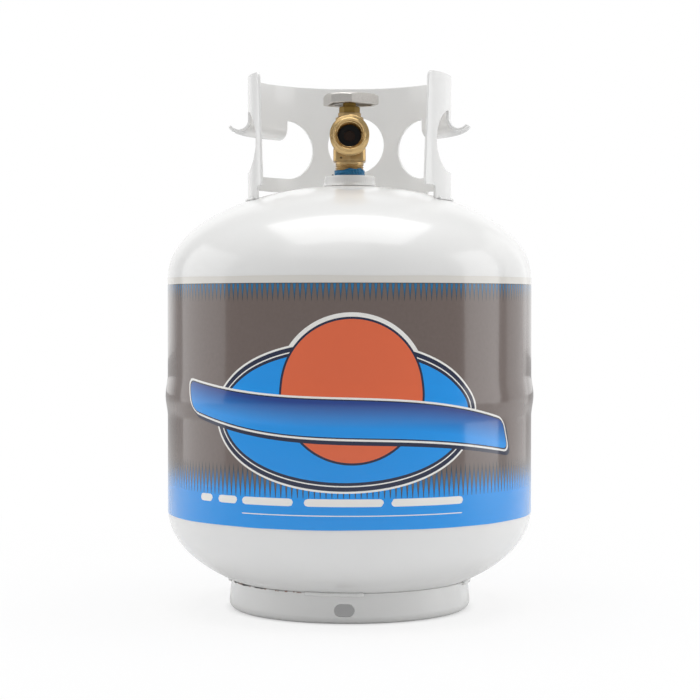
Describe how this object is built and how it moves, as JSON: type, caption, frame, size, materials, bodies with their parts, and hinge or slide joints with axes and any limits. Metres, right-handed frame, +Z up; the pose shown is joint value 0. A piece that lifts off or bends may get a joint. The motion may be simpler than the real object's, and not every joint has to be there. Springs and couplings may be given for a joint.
{
  "type": "propane gas cylinder",
  "caption": "Upright refillable gas cylinder with a printed film sleeve, rolled handle collar, foot ring and brass valve with a triangular handwheel.",
  "frame": {"origin": "centre of the body's axis on the floor that the foot ring stands on", "axes": "+Z up along the body's axis, -Y towards the valve's outlet and the collar's open front, +X to the viewer's right"},
  "size_m": [0.3146, 0.3146, 0.4527],
  "materials": {
    "white_paint": "gloss white enamel",
    "printed_film": "glossy printed film",
    "forged_brass": "forged, as cast skin",
    "turned_brass": "turned",
    "die_cast_metal": "satin, die cast",
    "plated_steel": "zinc plated",
    "spring_steel": "drawn wire",
    "black_rubber": "moulded rubber",
    "white_nylon": "moulded nylon",
    "blue_sealant": "cured thread sealant",
    "float_foam": "closed-cell foam"
  },
  "bodies": {
    "tank": {"upper_half": "white_paint", "lower_half": "white_paint", "girth_weld": "white_paint", "neck_boss": "white_paint", "neck_weld": "white_paint", "collar": "white_paint", "collar_welds": "white_paint", "foot_ring": "white_paint", "foot_ring_welds": "white_paint", "sleeve": "printed_film", "valve_body": "forged_brass", "thread_sealant": "blue_sealant", "bonnet": "turned_brass", "stem_washer": "white_nylon", "relief_spring": "spring_steel", "relief_retainer": "turned_brass", "outlet_seal": "black_rubber", "check_spring": "spring_steel", "check_retainer": "turned_brass", "dip_tube": "turned_brass", "opd_housing": "die_cast_metal", "opd_spring": "spring_steel", "arm_pin": "plated_steel"},
    "wheel_and_stem": {"handwheel": "die_cast_metal", "stem": "turned_brass", "stem_o_rings": "black_rubber", "wheel_screw": "plated_steel", "wheel_washer": "plated_steel"},
    "spindle_and_disc": {"spindle": "turned_brass", "seat_disc": "black_rubber"},
    "relief_plunger": {"relief_poppet": "turned_brass", "relief_seal": "black_rubber"},
    "outlet_poppet": {"check_poppet": "turned_brass"},
    "bleed_carrier": {"bleed_ring": "black_rubber"},
    "bleed_turner": {"bleed_screw": "turned_brass"},
    "float_lever": {"float_arm": "plated_steel", "float": "float_foam"},
    "stop_plunger": {"opd_plunger": "white_nylon"}
  },
  "joints": [
    {"name": "handwheel_turn", "type": "hinge", "parent": "tank", "child": "wheel_and_stem", "pos_m": [0, 0, 0.4255], "axis": [0, 0, 1], "range_deg": [0, 540]},
    {"name": "spindle_lift", "type": "slide", "parent": "wheel_and_stem", "child": "spindle_and_disc", "axis": [0, 0, 1], "range_m": [0, 0.003]},
    {"name": "relief_open", "type": "slide", "parent": "tank", "child": "relief_plunger", "axis": [0, 1, 0], "range_m": [0, 0.0025], "stiffness_N_per_m": 800, "springref_m": -0.004, "deforming": ["relief_spring"]},
    {"name": "outlet_poppet_push", "type": "slide", "parent": "tank", "child": "outlet_poppet", "axis": [0, 1, 0], "range_m": [0, 0.0035], "stiffness_N_per_m": 300, "springref_m": -0.003, "deforming": ["check_spring"]},
    {"name": "bleed_back_off", "type": "slide", "parent": "tank", "child": "bleed_carrier", "axis": [0, 1, 0], "range_m": [0, 0.0014]},
    {"name": "bleed_turn", "type": "hinge", "parent": "bleed_carrier", "child": "bleed_turner", "pos_m": [-0.0072, 0.009, 0.3833], "axis": [0, 1, 0], "range_deg": [0, 720]},
    {"name": "float_swing", "type": "hinge", "parent": "tank", "child": "float_lever", "pos_m": [0, -0.0035, 0.326], "axis": [1, 0, 0], "range_deg": [0, 50]},
    {"name": "stop_lift", "type": "slide", "parent": "tank", "child": "stop_plunger", "axis": [0, 0, 1], "range_m": [0, 0.00315], "deforming": ["opd_spring"]}
  ],
  "couplings": [
    {"joint": "handwheel_turn", "follows": "spindle_lift", "rad_per_m": 3141.6},
    {"joint": "bleed_turn", "follows": "bleed_back_off", "rad_per_m": 8976},
    {"joint": "stop_lift", "follows": "float_swing", "m_per_rad": 0.0036}
  ]
}
